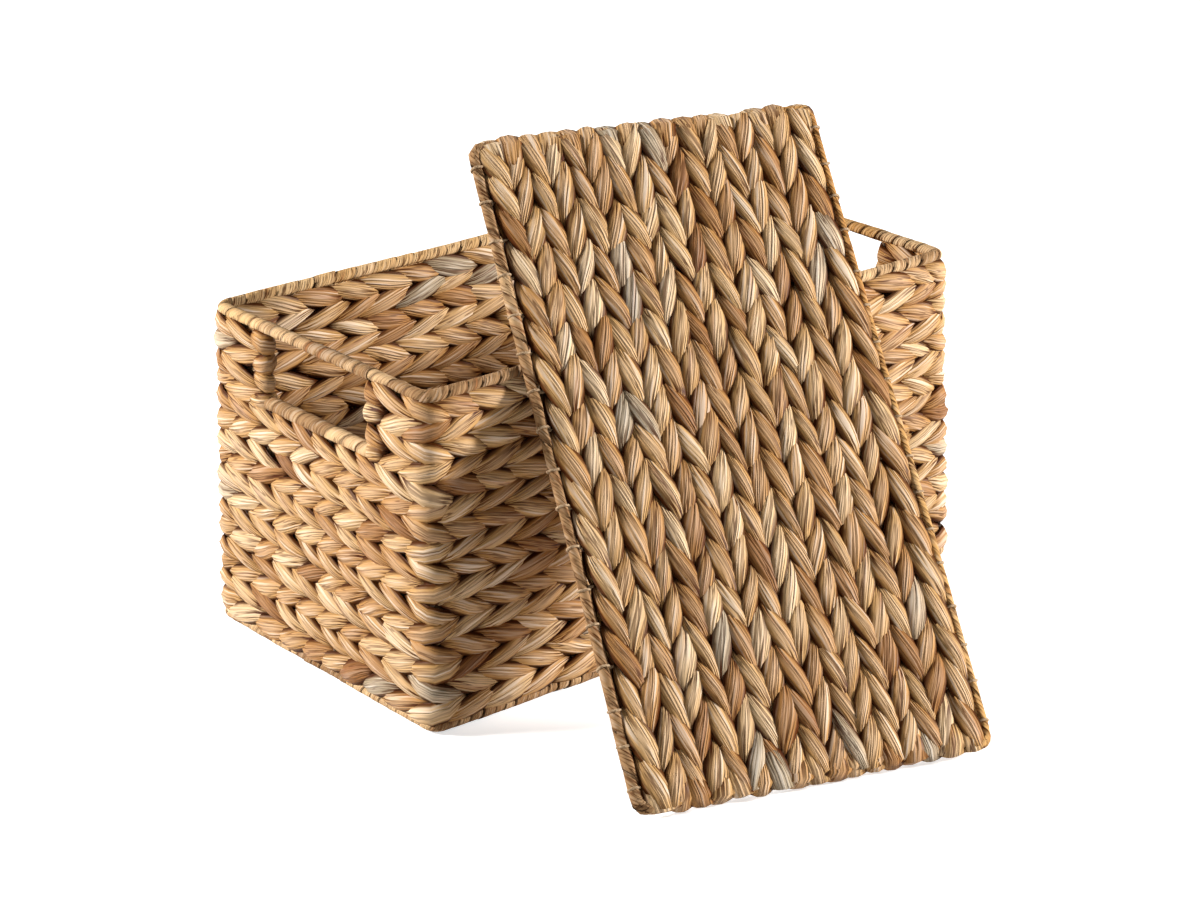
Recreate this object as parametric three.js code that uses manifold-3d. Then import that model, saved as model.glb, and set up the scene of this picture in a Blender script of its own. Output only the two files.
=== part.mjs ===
// Woven storage box with a loose lid: twined water hyacinth on a welded wire frame.
// Millimetres, +Z up. The origin is the middle of the underside of the box, its length runs along X,
// and the lid stands on the floor in front of the box and leans on the front rim.

import * as THREE from "three";
import { mergeVertices } from "three/addons/utils/BufferGeometryUtils.js";
import Module from "manifold-3d";

const wasm = await Module();
wasm.setup();

// Walls of the box
const boxLength = 396; // outside the weave at the rim, along X
const boxWidth = 215; // outside the weave at the rim, along Y
const wallFlare = 4.5; // how far each wall leans out from the rim down to the base
const wallStrand = 4; // thickness of a strand over the uprights
const strandCrown = 2.5; // how far the middle of a strand stands out over its edges
const cornerRadius = 15; // outside corner of the weave
const coursePitch = 11.6; // height of one twined course
const courseCount = 16;
const crossing = 8; // stretch where the two strands of a course pass each other

// Handle openings, one in each end wall
const handleWidth = 95;
const handleCourses = 4; // courses that stop at the opening

// Welded wire frame
const wireDiameter = 4; // rim, base ring, sills and lid ring
const uprightDiameter = 3; // corner posts, jambs and the stakes between them
const longWallStakes = 15;
const sillStakes = 4; // stakes under each handle sill
const sideStakes = 1; // stakes between a jamb and its corner post
const baseBars = 15; // bars across the base, the end ones included

// Strips of flat stalk bound round the wires
const rimBinding = 7.4; // outside diameter
const sillBinding = 9;
const lidBinding = 6.4;

// Base panel
const basePlaits = 7;
const plaitRows = 3; // twined rows side by side in a plait
const plaitFlat = 5; // flat of each of these rows, on which the box stands
const baseStrand = 3.6; // thickness of a strand over the base bars

// Lid
const lidStrand = 3.5; // thickness of a strand over the lid wires
const lidRows = 17;
const lidSideGap = 2; // open strip between the side wire and the first row
const lidCords = 17; // warp cords across the lid
const lidCordDiameter = 2.2;
const lidCornerRadius = 5; // middle line of the lid wire

// How the lid leans
const lidLean = THREE.MathUtils.degToRad(38.9); // from upright
const lidTurn = THREE.MathUtils.degToRad(-17.3); // its foot against the front wall
const lidFootInset = 121; // middle of its foot from the left end of the box

const clearance = 0.3; // between pieces that touch
const cornerSteps = 3;
const slotSteps = 2;
const endSteps = 4;
const bindingSteps = 6;
const wireSides = 6;
const stakeSides = 4;

// Worked-out sizes: two strands with the wires between them, and a lid with the outline of the bound rim
const wallThickness = uprightDiameter + 2 * wallStrand;
const baseThickness = uprightDiameter + 2 * baseStrand;
const lidThickness = wireDiameter + 2 * lidStrand;
const lidLength = boxLength - wallThickness + rimBinding;
const lidWidth = boxWidth - wallThickness + rimBinding;

// Worked-out places
const rimX = boxLength / 2 - wallThickness / 2; // middle line of the end walls at the rim
const rimY = boxWidth / 2 - wallThickness / 2; // middle line of the long walls at the rim
const wallRadius = cornerRadius - wallThickness / 2;
const jambY = handleWidth / 2 + wallThickness / 2;
const openingHalf = handleWidth / 2 - clearance;
const slotHalf = uprightDiameter / 2 + clearance;
const baseWireZ = rimBinding / 2;
const baseBarZ = baseThickness / 2;
const firstCourseZ = rimBinding + clearance;
const courseHeight = coursePitch - clearance;
const ringCourses = courseCount - handleCourses;
const courseZ = (n) => firstCourseZ + n * coursePitch;
const bindingFoot = (diameter) => Math.sqrt((diameter / 2) ** 2 - slotHalf ** 2);
const rimWireZ = courseZ(courseCount) + bindingFoot(rimBinding);
const sillWireZ = courseZ(ringCourses) + bindingFoot(sillBinding);

// The middle line of the walls at a height: half its length and half its width
function wallAt(z) {
  const spread = wallFlare * (1 - (z - baseWireZ) / (rimWireZ - baseWireZ));
  return { x: rimX + spread, y: rimY + spread };
}

const longStakePitch = (2 * (rimX - wallRadius)) / longWallStakes;
const firstWall = wallAt(courseZ(0) + courseHeight / 2);
const baseEndX = firstWall.x - wallThickness / 2 - clearance - baseThickness / 2; // the outermost base bars

const stalk = { roughness: 0.75, metalness: 0 };
const steel = { roughness: 0.5, metalness: 0.8 };
const honey = 0xc79a63;
const wheat = 0xd3aa74;
const binding = 0xb98d5c;
const wireGrey = 0x8a8378;

const model = new THREE.Group();
const box = new THREE.Group();
const lid = new THREE.Group();
model.add(box, lid);

function place(group, name, geometry, color, finish) {
  const mesh = new THREE.Mesh(geometry, new THREE.MeshStandardMaterial({ color, ...finish }));
  mesh.name = name;
  group.add(mesh);
}

const numbered = (name, n) => `${name}_${String(n).padStart(2, "0")}`;

// Paths: a path is a list of stations, each a point of the middle line with its outward normal

function station(x, y, normalX, normalY) {
  return { point: new THREE.Vector2(x, y), normal: new THREE.Vector2(normalX, normalY) };
}

function corner(halfX, halfY, radius, quarter, steps = cornerSteps) {
  const stations = [];
  for (let i = 0; i <= steps; i++) {
    const angle = (quarter + i / steps) * (Math.PI / 2);
    const normal = new THREE.Vector2(Math.cos(angle), Math.sin(angle));
    const middle = (quarter + 0.5) * (Math.PI / 2);
    const centre = new THREE.Vector2(
      Math.sign(Math.cos(middle)) * (halfX - radius),
      Math.sign(Math.sin(middle)) * (halfY - radius),
    );
    stations.push({ point: centre.addScaledVector(normal, radius), normal });
  }
  return stations;
}

function ringPath(halfX, halfY, radius) {
  return [0, 1, 2, 3].flatMap((quarter) => corner(halfX, halfY, radius, quarter));
}

function wallPath(z) {
  const wall = wallAt(z);
  return ringPath(wall.x, wall.y, wallRadius);
}

// The middle line of one long wall at a height, round both its corners and on to the line y on the end walls
function longWallPath(z, side, endY) {
  const wall = wallAt(z);
  const quarter = side > 0 ? 0 : 2;
  return [
    station(side * wall.x, side * endY, side, 0),
    ...corner(wall.x, wall.y, wallRadius, quarter),
    ...corner(wall.x, wall.y, wallRadius, quarter + 1),
    station(-side * wall.x, side * endY, -side, 0),
  ];
}

function offset(path, distance) {
  return path.map(({ point, normal }) => point.clone().addScaledVector(normal, distance));
}

function roundEnd(point, normal, radius) {
  const points = [];
  for (let i = 1; i < endSteps; i++) {
    const turned = normal.clone().rotateAround(new THREE.Vector2(), (i / endSteps) * Math.PI);
    points.push(turned.multiplyScalar(radius).add(point));
  }
  return points;
}

// The outline of a strip that follows a path and is rounded at both ends
function roundedStrip(path, halfWidth) {
  const first = path[0];
  const last = path[path.length - 1];
  return [
    ...offset(path, halfWidth),
    ...roundEnd(last.point, last.normal, halfWidth),
    ...offset(path, -halfWidth).reverse(),
    ...roundEnd(first.point, first.normal.clone().negate(), halfWidth),
  ];
}

// The outline of a strip that tapers to a point at its first and last stations
function pointedStrip(path, halfWidth) {
  const body = path.slice(1, -1);
  const [first, last] = [path[0], path[path.length - 1]];
  return [first.point, ...offset(body, halfWidth), last.point, ...offset(body, -halfWidth).reverse()];
}

// Solids

function geometryOf(positions, index) {
  const geometry = new THREE.BufferGeometry();
  geometry.setAttribute("position", new THREE.Float32BufferAttribute(positions, 3));
  geometry.setIndex(index);
  return geometry;
}

// A solid built up in Z. Each wall is a list of levels, a loop at a height: the first wall is the outside,
// anticlockwise, and the others are round its holes, clockwise.
function stack(walls) {
  const positions = [];
  const index = [];
  const bottom = [];
  const top = [];
  for (const levels of walls) {
    const count = levels[0].loop.length;
    const starts = levels.map(({ loop, z }) => {
      const start = positions.length / 3;
      loop.forEach((p) => positions.push(p.x, p.y, z));
      return start;
    });
    for (let k = 0; k + 1 < levels.length; k++) {
      for (let i = 0; i < count; i++) {
        const j = (i + 1) % count;
        const [low, high] = [starts[k], starts[k + 1]];
        index.push(low + i, low + j, high + j, low + i, high + j, high + i);
      }
    }
    for (let i = 0; i < count; i++) {
      bottom.push(starts[0] + i);
      top.push(starts[starts.length - 1] + i);
    }
  }
  const cap = (level) => {
    const [outside, ...holes] = walls.map((levels) => levels.at(level).loop);
    return THREE.ShapeUtils.triangulateShape(outside, holes);
  };
  cap(0).forEach(([a, b, c]) => index.push(bottom[a], bottom[c], bottom[b]));
  cap(-1).forEach(([a, b, c]) => index.push(top[a], top[b], top[c]));
  return geometryOf(positions, index);
}

// The levels of a wall of twined rows, each crowned in its middle, with a ridge or a flat; loopAt gives the
// loop at a distance from the middle line
function crownedLevels(loopAt, distance, height, rows = 1, flat = 0) {
  const edge = loopAt(distance - strandCrown);
  const crown = loopAt(distance);
  const levels = [{ loop: edge, z: 0 }];
  for (let row = 0; row < rows; row++) {
    const middle = (height * (row + 0.5)) / rows;
    const crownHeights = flat > 0 ? [middle - flat / 2, middle + flat / 2] : [middle];
    crownHeights.forEach((z) => levels.push({ loop: crown, z }));
    levels.push({ loop: edge, z: (height * (row + 1)) / rows });
  }
  return levels;
}

function straightLevels(loop, height) {
  return [
    { loop, z: 0 },
    { loop, z: height },
  ];
}

// A pair of strands that turns back round a wire at each end, with a slot between them for the stakes
function strandLoop(path, thickness, wire, height, rows, flat) {
  const slot = roundedStrip(path, wire / 2 + clearance).reverse();
  const outside = (distance) => roundedStrip(path, distance);
  return stack([
    crownedLevels(outside, thickness / 2, height, rows, flat),
    straightLevels(slot, height),
  ]);
}

// A section carried along a path; each section point is a distance along the normal and a height
function sweep(path, section, closed) {
  const positions = [];
  const index = [];
  const count = section.length;
  for (const { point, normal } of path) {
    for (const [out, up] of section) {
      positions.push(point.x + normal.x * out, point.y + normal.y * out, up);
    }
  }
  const spans = closed ? path.length : path.length - 1;
  for (let k = 0; k < spans; k++) {
    const here = k * count;
    const next = ((k + 1) % path.length) * count;
    for (let i = 0; i < count; i++) {
      const j = (i + 1) % count;
      index.push(here + i, next + i, next + j, here + i, next + j, here + j);
    }
  }
  if (!closed) {
    const last = (path.length - 1) * count;
    const outline = section.map(([out, up]) => new THREE.Vector2(out, up));
    for (const [a, b, c] of THREE.ShapeUtils.triangulateShape(outline, [])) {
      index.push(a, b, c, last + a, last + c, last + b);
    }
  }
  return geometryOf(positions, index);
}

function roundSection(diameter, sides, up) {
  const points = [];
  for (let i = 0; i < sides; i++) {
    const angle = ((i + 0.5) / sides) * 2 * Math.PI;
    points.push([(Math.cos(angle) * diameter) / 2, up + (Math.sin(angle) * diameter) / 2]);
  }
  return points;
}

// A bound strip round a wire, open between two angles where stakes join the wire
function openSection(outside, inside, from, to, up) {
  const arc = (diameter, a, b) => {
    const points = [];
    for (let i = 0; i <= bindingSteps; i++) {
      const angle = a + (i / bindingSteps) * (b - a);
      points.push([(Math.cos(angle) * diameter) / 2, up + (Math.sin(angle) * diameter) / 2]);
    }
    return points;
  };
  return [...arc(outside, from.outside, to.outside), ...arc(inside, to.inside, from.inside)];
}

// The edge of a slot of the given half width that points along an angle, seen on both faces of a bound strip
function slotEdge(outside, inside, halfWidth, angle, side) {
  const edge = (diameter) => angle + side * Math.asin(halfWidth / (diameter / 2));
  return { outside: edge(outside), inside: edge(inside) };
}

function slottedSection(outside, inside, angle, up) {
  const from = slotEdge(outside, inside, slotHalf, angle, 1);
  const to = slotEdge(outside, inside, slotHalf, angle + 2 * Math.PI, -1);
  return openSection(outside, inside, from, to, up);
}

function rod(from, to, diameter, sides) {
  const run = to.clone().sub(from);
  const geometry = new THREE.CylinderGeometry(diameter / 2, diameter / 2, run.length(), sides);
  const axis = new THREE.Vector3(0, 1, 0);
  const turn = new THREE.Quaternion().setFromUnitVectors(axis, run.clone().normalize());
  geometry.applyQuaternion(turn);
  const middle = from.clone().add(to).multiplyScalar(0.5);
  return geometry.translate(middle.x, middle.y, middle.z);
}

function solidOf(geometry) {
  const bare = geometry.clone();
  bare.deleteAttribute("normal");
  bare.deleteAttribute("uv");
  const merged = mergeVertices(bare, 1e-4);
  return new wasm.Manifold(
    new wasm.Mesh({
      numProp: 3,
      vertProperties: merged.attributes.position.array,
      triVerts: new Uint32Array(merged.index.array),
    }),
  );
}

function weld(geometries) {
  const joined = geometries.map(solidOf).reduce((whole, part) => whole.add(part));
  const { vertProperties, triVerts } = joined.getMesh();
  return geometryOf(Array.from(vertProperties), Array.from(triVerts));
}

// The wire frame of the box: rim and base rings, posts, jambs, stakes, handle sills and base bars
function boxFrame() {
  const parts = [
    sweep(wallPath(rimWireZ), roundSection(wireDiameter, wireSides, rimWireZ), true),
    sweep(wallPath(baseWireZ), roundSection(wireDiameter, wireSides, baseWireZ), true),
  ];
  const foot = wallAt(baseWireZ);
  const straightRod = (from, to, diameter, sides) => {
    parts.push(rod(new THREE.Vector3(...from), new THREE.Vector3(...to), diameter, sides));
  };
  // An upright leans with its wall, from the base wire to a wire above it
  const stakeOnLongWall = (x, side) => {
    straightRod([x, side * foot.y, baseWireZ], [x, side * rimY, rimWireZ], uprightDiameter, stakeSides);
  };
  const stakeOnEndWall = (y, end, topZ) => {
    const topX = wallAt(topZ).x;
    straightRod([end * foot.x, y, baseWireZ], [end * topX, y, topZ], uprightDiameter, stakeSides);
  };
  for (const side of [-1, 1]) {
    for (let i = 0; i < longWallStakes; i++) {
      stakeOnLongWall((i - (longWallStakes - 1) / 2) * longStakePitch, side);
    }
  }
  const postInset = wallRadius * (1 - Math.SQRT1_2);
  const cornerRun = rimY - wallRadius + (wallRadius * Math.PI) / 4 - jambY;
  for (const end of [-1, 1]) {
    for (const side of [-1, 1]) {
      const postFoot = [end * (foot.x - postInset), side * (foot.y - postInset), baseWireZ];
      const postHead = [end * (rimX - postInset), side * (rimY - postInset), rimWireZ];
      straightRod(postFoot, postHead, uprightDiameter, stakeSides);
      for (let i = 0; i <= sideStakes; i++) {
        stakeOnEndWall(side * (jambY + (cornerRun * i) / (sideStakes + 1)), end, rimWireZ);
      }
    }
    for (let i = 1; i <= sillStakes; i++) {
      stakeOnEndWall(jambY * ((2 * i) / (sillStakes + 1) - 1), end, sillWireZ);
    }
    const sillX = end * wallAt(sillWireZ).x;
    straightRod([sillX, -openingHalf, sillWireZ], [sillX, openingHalf, sillWireZ], wireDiameter, wireSides);
  }
  for (let i = 0; i < baseBars; i++) {
    const x = baseEndX * ((2 * i) / (baseBars - 1) - 1);
    straightRod([x, -foot.y, baseBarZ], [x, foot.y, baseBarZ], uprightDiameter, stakeSides);
  }
  return weld(parts);
}

// A course that runs right round the box: its two strands cross between two stakes near the middle of
// each wall
function ringCourse(z) {
  const wall = wallAt(z + courseHeight / 2);
  const ring = ringPath(wall.x, wall.y, wallRadius);
  const walls = [
    crownedLevels((d) => offset(ring, d), wallThickness / 2, courseHeight),
    crownedLevels((d) => offset(ring, -d).reverse(), wallThickness / 2, courseHeight),
  ];
  const longMiddle = ((longWallStakes % 2) * longStakePitch) / 2;
  const endMiddle = ((sillStakes % 2) * jambY) / (sillStakes + 1);
  for (let quarter = 0; quarter < 4; quarter++) {
    const turn = corner(wall.x, wall.y, wallRadius, quarter, slotSteps);
    const beside = ({ point, normal }, distance) =>
      Math.abs(normal.x) > Math.abs(normal.y)
        ? station(point.x, endMiddle + Math.sign(point.y) * distance, normal.x, normal.y)
        : station(longMiddle + Math.sign(point.x) * distance, point.y, normal.x, normal.y);
    const [first, last] = [turn[0], turn[turn.length - 1]];
    const path = [
      beside(first, crossing / 2),
      beside(first, crossing),
      ...turn,
      beside(last, crossing),
      beside(last, crossing / 2),
    ];
    walls.push(straightLevels(pointedStrip(path, slotHalf).reverse(), courseHeight));
  }
  return stack(walls);
}

function buildCourses() {
  for (let n = 0; n < courseCount; n++) {
    const name = numbered("course", n + 1);
    const color = n % 2 ? wheat : honey;
    if (n < ringCourses) {
      place(box, name, ringCourse(courseZ(n)).translate(0, 0, courseZ(n)), color, stalk);
      continue;
    }
    for (const [part, side] of [["front", -1], ["back", 1]]) {
      const path = longWallPath(courseZ(n) + courseHeight / 2, side, jambY);
      const loop = strandLoop(path, wallThickness, uprightDiameter, courseHeight);
      place(box, `${name}_${part}`, loop.translate(0, 0, courseZ(n)), color, stalk);
    }
  }
}

// Bindings of the rim, the handles, the sills and the base ring
function buildBindings() {
  const bore = wireDiameter + 2 * clearance;
  const down = -Math.PI / 2;
  const rimSection = slottedSection(rimBinding, bore, down, rimWireZ);
  for (const [part, side] of [["front", -1], ["back", 1]]) {
    const path = longWallPath(rimWireZ, side, openingHalf + clearance);
    place(box, `rim_binding_${part}`, sweep(path, rimSection, false), binding, stalk);
  }
  const sillSection = slottedSection(sillBinding, bore, down, sillWireZ);
  for (const [part, end] of [["left", -1], ["right", 1]]) {
    const across = (z, half) => [
      station(end * wallAt(z).x, -end * half, end, 0),
      station(end * wallAt(z).x, end * half, end, 0),
    ];
    const gripPath = across(rimWireZ, openingHalf);
    const holePath = across(rimWireZ, 2 * openingHalf);
    const grip = solidOf(sweep(gripPath, roundSection(rimBinding, 2 * wireSides, rimWireZ), false));
    const hole = solidOf(sweep(holePath, roundSection(bore, wireSides, rimWireZ), false));
    const { vertProperties, triVerts } = grip.subtract(hole).getMesh();
    const tube = geometryOf(Array.from(vertProperties), Array.from(triVerts));
    place(box, `handle_grip_${part}`, tube, binding, stalk);
    const sill = sweep(across(sillWireZ, openingHalf), sillSection, false);
    place(box, `sill_binding_${part}`, sill, binding, stalk);
  }
  // The base binding is open above for the stakes and inside for the base bars
  const inward = slotEdge(rimBinding, bore, slotHalf, -Math.PI, 1);
  const upward = slotEdge(rimBinding, bore, slotHalf, Math.PI / 2, -1);
  const baseSection = openSection(rimBinding, bore, inward, upward, baseWireZ);
  place(box, "base_binding", sweep(wallPath(baseWireZ), baseSection, true), binding, stalk);
}

// The base: plaits along the box, turned back round the end bars
function buildBase() {
  const halfWidth = firstWall.y - wallThickness / 2 - clearance;
  const pitch = (2 * halfWidth) / basePlaits;
  const path = [station(-baseEndX, 0, 0, -1), station(baseEndX, 0, 0, -1)];
  const lay = new THREE.Matrix4().makeBasis(
    new THREE.Vector3(1, 0, 0),
    new THREE.Vector3(0, 0, 1),
    new THREE.Vector3(0, -1, 0),
  );
  for (let n = 0; n < basePlaits; n++) {
    const height = pitch - clearance;
    const loop = strandLoop(path, baseThickness, uprightDiameter, height, plaitRows, plaitFlat);
    loop.applyMatrix4(lay).translate(0, halfWidth - n * pitch - clearance / 2, baseBarZ);
    place(box, numbered("base_plait", n + 1), loop, n % 2 ? wheat : honey, stalk);
  }
}

// The lid lies in its own XY plane, its length along Y from the foot wire at the origin and its outer face
// towards +Z
const lidReach = lidLength - lidThickness; // from the foot wire to the head wire
const lidSideX = lidWidth / 2 - lidBinding / 2;
const lidRowsHalf = lidWidth / 2 - lidBinding - lidSideGap;

function lidFrame() {
  const middle = lidReach / 2;
  const ring = ringPath(lidSideX, middle, lidCornerRadius);
  const parts = [sweep(ring, roundSection(wireDiameter, wireSides, 0), true).translate(0, middle, 0)];
  for (let i = 0; i < lidCords; i++) {
    const y = (lidReach * (i + 0.5)) / lidCords;
    const from = new THREE.Vector3(-lidSideX, y, 0);
    const to = new THREE.Vector3(lidSideX, y, 0);
    parts.push(rod(from, to, lidCordDiameter, stakeSides));
  }
  return weld(parts);
}

function buildLid() {
  place(lid, "lid_frame", lidFrame(), wireGrey, steel);
  const bore = wireDiameter + 2 * clearance;
  const bindingEnds = lidCornerRadius + clearance;
  for (const [part, side] of [["left", -1], ["right", 1]]) {
    const section = slottedSection(lidBinding, bore, Math.PI, 0);
    const path = [
      station(side * lidSideX, side > 0 ? bindingEnds : lidReach - bindingEnds, side, 0),
      station(side * lidSideX, side > 0 ? lidReach - bindingEnds : bindingEnds, side, 0),
    ];
    place(lid, `lid_binding_${part}`, sweep(path, section, false), binding, stalk);
  }
  const pitch = (2 * lidRowsHalf) / lidRows;
  const along = [station(0, 0, 0, -1), station(lidReach, 0, 0, -1)];
  const turn = new THREE.Matrix4().makeBasis(
    new THREE.Vector3(0, 1, 0),
    new THREE.Vector3(0, 0, 1),
    new THREE.Vector3(1, 0, 0),
  );
  for (let n = 0; n < lidRows; n++) {
    const row = strandLoop(along, lidThickness, wireDiameter, pitch - clearance);
    row.applyMatrix4(turn).translate(-lidRowsHalf + n * pitch + clearance / 2, 0, 0);
    place(lid, numbered("lid_row", n + 1), row, n % 2 ? wheat : honey, stalk);
  }
}

// Stands the lid on its foot, turned and leaning, with the binding of one side against the front rim
function leanLid() {
  const across = new THREE.Vector3(Math.cos(lidTurn), Math.sin(lidTurn), 0);
  const inward = new THREE.Vector3(-Math.sin(lidTurn), Math.cos(lidTurn), 0);
  const up = inward.clone().multiplyScalar(Math.sin(lidLean)).setZ(Math.cos(lidLean));
  const outward = across.clone().cross(up);
  const footZ = lidThickness / 2;
  const sideWire = across.clone().multiplyScalar(Math.sign(lidTurn) * lidSideX);
  const square = new THREE.Vector3(1, 0, 0).cross(up).normalize(); // to the side wire and to the rim
  const apart = lidBinding / 2 + rimBinding / 2 + clearance;
  const rise = (rimWireZ - footZ + square.z * apart) / up.z; // up the lid to where it meets the rim
  const footToRim = sideWire.clone().addScaledVector(up, rise).addScaledVector(square, -apart);
  lid.position.set(lidFootInset - boxLength / 2, -rimY - footToRim.y, footZ);
  lid.quaternion.setFromRotationMatrix(new THREE.Matrix4().makeBasis(across, up, outward));
}

place(box, "box_frame", boxFrame(), wireGrey, steel);
buildBindings();
buildCourses();
buildBase();
buildLid();
leanLid();

export default model;
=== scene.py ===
import math

import bmesh
import bpy
import numpy as np
from mathutils import Matrix, Vector


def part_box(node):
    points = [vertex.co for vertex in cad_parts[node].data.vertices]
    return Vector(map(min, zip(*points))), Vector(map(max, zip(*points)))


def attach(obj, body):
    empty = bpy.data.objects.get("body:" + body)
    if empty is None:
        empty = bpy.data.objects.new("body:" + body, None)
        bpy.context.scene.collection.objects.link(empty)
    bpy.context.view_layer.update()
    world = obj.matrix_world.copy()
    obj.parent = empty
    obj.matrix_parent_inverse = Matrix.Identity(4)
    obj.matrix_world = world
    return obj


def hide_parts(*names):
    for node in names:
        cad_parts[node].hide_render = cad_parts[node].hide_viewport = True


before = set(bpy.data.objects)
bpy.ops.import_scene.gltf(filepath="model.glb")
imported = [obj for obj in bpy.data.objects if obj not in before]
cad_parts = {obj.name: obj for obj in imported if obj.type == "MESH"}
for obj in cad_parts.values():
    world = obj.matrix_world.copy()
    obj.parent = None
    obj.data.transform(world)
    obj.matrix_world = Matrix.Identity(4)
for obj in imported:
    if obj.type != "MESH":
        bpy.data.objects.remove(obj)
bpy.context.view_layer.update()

mm = 0.001
dice = np.random.default_rng(27)


# Camera

cameraSetup = {
    "lens": 95.37,
    "place": (-1.1176, -1.4067, 0.7836),
    "azimuth": -38.666,  # round the box from the front, degrees
    "elevation": 21.161,
    "roll": -0.712,
}


def addCamera(setup):
    azimuth, elevation, roll = (math.radians(setup[key]) for key in ("azimuth", "elevation", "roll"))
    back = Vector((
        math.sin(azimuth) * math.cos(elevation),
        -math.cos(azimuth) * math.cos(elevation),
        math.sin(elevation),
    ))
    across = Vector((math.cos(azimuth), math.sin(azimuth), 0))
    above = back.cross(across)
    right = math.cos(roll) * across + math.sin(roll) * above
    up = math.cos(roll) * above - math.sin(roll) * across
    bpy.ops.object.camera_add(location=setup["place"])
    camera = bpy.context.object
    camera.rotation_euler = Matrix((right, up, back)).transposed().to_euler()
    camera.data.sensor_width = 36
    camera.data.lens = setup["lens"]
    camera.data.clip_end = 50
    bpy.context.scene.camera = camera


# Materials

class Value:
    # a socket of a material, so that shader maths reads as plain Python
    def __init__(self, finish, socket):
        self.finish = finish
        self.socket = socket

    def maths(self, operation, *values):
        return self.finish.add("ShaderNodeMath", {"operation": operation}, values)

    def __add__(self, other):
        return self.maths("ADD", self, other)

    def __radd__(self, other):
        return self.maths("ADD", other, self)

    def __sub__(self, other):
        return self.maths("SUBTRACT", self, other)

    def __rsub__(self, other):
        return self.maths("SUBTRACT", other, self)

    def __mul__(self, other):
        return self.maths("MULTIPLY", self, other)

    def __rmul__(self, other):
        return self.maths("MULTIPLY", other, self)

    def __abs__(self):
        return self.maths("ABSOLUTE", self)


class Finish:
    # the nodes of a material or of the world, with a method that adds any of them
    def __init__(self, owner):
        owner.use_nodes = True
        self.owner = owner
        self.tree = owner.node_tree
        self.tree.nodes.clear()

    def add(self, kind, settings=None, inputs=(), out=0):
        node = self.tree.nodes.new(kind)
        for name, value in (settings or {}).items():
            setattr(node, name, value)
        pairs = inputs.items() if isinstance(inputs, dict) else enumerate(inputs)
        for key, value in pairs:
            if isinstance(value, Value):
                self.tree.links.new(value.socket, node.inputs[key])
            else:
                node.inputs[key].default_value = value
        return Value(self, node.outputs[out]) if node.outputs else node

    def other(self, value, out):
        # another output of the node that a value comes from
        return Value(self, value.socket.node.outputs[out])

    def between(self, value, low, high):
        # 0 at low, 1 at high, smooth between them
        return self.add("ShaderNodeMapRange", {"interpolation_type": "SMOOTHSTEP"},
                        {"Value": value, "From Min": low, "From Max": high})

    def blend(self, share, first, second):
        first, second = (c if isinstance(c, Value) else (*c, 1) for c in (first, second))
        return self.add("ShaderNodeMix", {"data_type": "RGBA"}, {0: share, 6: first, 7: second}, out=2)

    def ramp(self, value, stops):
        made = self.add("ShaderNodeValToRGB", None, (value,))
        elements = made.socket.node.color_ramp.elements
        while len(elements) < len(stops):
            elements.new(0.5)
        for element, (place, colour) in zip(elements, stops):
            element.position = place
            element.color = (*colour, 1)
        return made

    def noise(self, vector, scale, detail=2.0, roughness=0.5):
        return self.add("ShaderNodeTexNoise", {"noise_dimensions": "3D"},
                        {"Vector": vector, "Scale": scale, "Detail": detail, "Roughness": roughness})

    def vector(self, x, y, z):
        return self.add("ShaderNodeCombineXYZ", None, (x, y, z))

    def seen(self):
        # 1 for rays that come straight, by a reflection or through glass from the camera
        ray = self.add("ShaderNodeLightPath")
        both = ray + self.other(ray, "Is Glossy Ray")
        return self.add("ShaderNodeMath", {"operation": "ADD", "use_clamp": True},
                        (both, self.other(ray, "Is Transmission Ray")))

    def finishWith(self, **sockets):
        shader = self.add("ShaderNodeBsdfPrincipled", None, {
            key.replace("_", " "): value for key, value in sockets.items()
        })
        self.add("ShaderNodeOutputMaterial", None, {"Surface": shader})
        return self.owner


stalkColours = {
    "tones": [
        (0.00, (0.190, 0.070, 0.018)),  # reddish brown
        (0.12, (0.325, 0.142, 0.039)),
        (0.36, (0.455, 0.227, 0.069)),  # honey
        (0.60, (0.545, 0.308, 0.111)),
        (0.80, (0.670, 0.446, 0.228)),  # cream
        (0.90, (0.640, 0.440, 0.260)),
        (1.00, (0.360, 0.268, 0.162)),  # grey green
    ],
    # dark brown of the painted shade in creases and at leaf edges, also of the dark fibres
    "crease": (0.065, 0.014, 0.001),
    "rust": (0.270, 0.082, 0.018),
    # cream painted on ridges, leaf middles and pale fibres as a painted highlight
    "paleHighlight": (0.985, 0.880, 0.760),
}
boundColours = dict(stalkColours, tones=stalkColours["tones"][:-2] + [
    (0.90, (0.610, 0.395, 0.205)),
    (1.00, (0.330, 0.188, 0.086)),  # dull brown
])

weaveLook = {
    "pleats": 7.0,  # how close the pleats and fibres lie across a leaf
    "fibres": 22.0,
    "creases": 1.0,  # how dark the painted shade in the creases between the pleats is, and the dark fibres
    "highlight": 0.34,  # how strong the painted highlight on the ridges and fibres is
    "middle": 0.15,  # how strong the painted highlight on the middle of a leaf is
    "side": 0.95,  # how dark the painted shade at a leaf's sides and ends is
    "ends": 0.95,
    "bump": 0.9 * mm,
    "rough": 0.46,
    "shine": 0.08,
}
boundLook = {
    "pleats": 7.0,
    "fibres": 26.0,
    "creases": 0.80,
    "highlight": 0.12,
    "middle": 0.0,
    "side": 0.30,
    "ends": 0.0,
    "bump": 0.6 * mm,
    "rough": 0.75,
    "shine": 0.05,
}


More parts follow.
